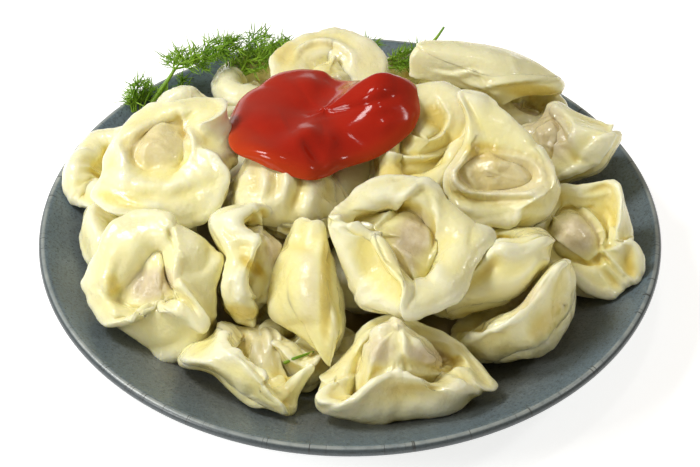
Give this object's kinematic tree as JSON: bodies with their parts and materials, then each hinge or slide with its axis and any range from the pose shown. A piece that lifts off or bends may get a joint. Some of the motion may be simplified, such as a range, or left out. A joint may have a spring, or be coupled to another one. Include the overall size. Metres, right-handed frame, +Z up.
{
  "type": "plate of boiled dumplings",
  "caption": "A shallow stoneware plate heaped with boiled meat dumplings, topped with tomato sauce and edged with sprigs of fresh dill",
  "frame": {"origin": "middle of the plate's foot, on the table", "axes": "+Z up, +X to the viewer's right, +Y away from the viewer"},
  "size_m": [0.19, 0.19, 0.0584],
  "materials": {
    "glaze": "speckled satin glaze",
    "dough": "wet boiled dough",
    "tomato": "glossy thick sauce",
    "dill": "fresh leaf"
  },
  "bodies": {
    "root": {"plate": "glaze", "pelmen_01": "dough", "pelmen_02": "dough", "pelmen_03": "dough", "pelmen_04": "dough", "pelmen_05": "dough", "pelmen_06": "dough", "pelmen_07": "dough", "pelmen_08": "dough", "pelmen_09": "dough", "pelmen_10": "dough", "pelmen_11": "dough", "pelmen_12": "dough", "pelmen_13": "dough", "pelmen_14": "dough", "pelmen_15": "dough", "pelmen_16": "dough", "pelmen_17": "dough", "pelmen_18": "dough", "pelmen_19": "dough", "pelmen_20": "dough", "pelmen_21": "dough", "pelmen_22": "dough", "pelmen_23": "dough", "pelmen_24": "dough", "pelmen_25": "dough", "pelmen_26": "dough", "pelmen_27": "dough", "pelmen_28": "dough", "pelmen_29": "dough", "ketchup": "tomato", "dill_1": "dill", "dill_2": "dill", "dill_3": "dill", "dill_4": "dill", "dill_5": "dill"}
  },
  "joints": []
}
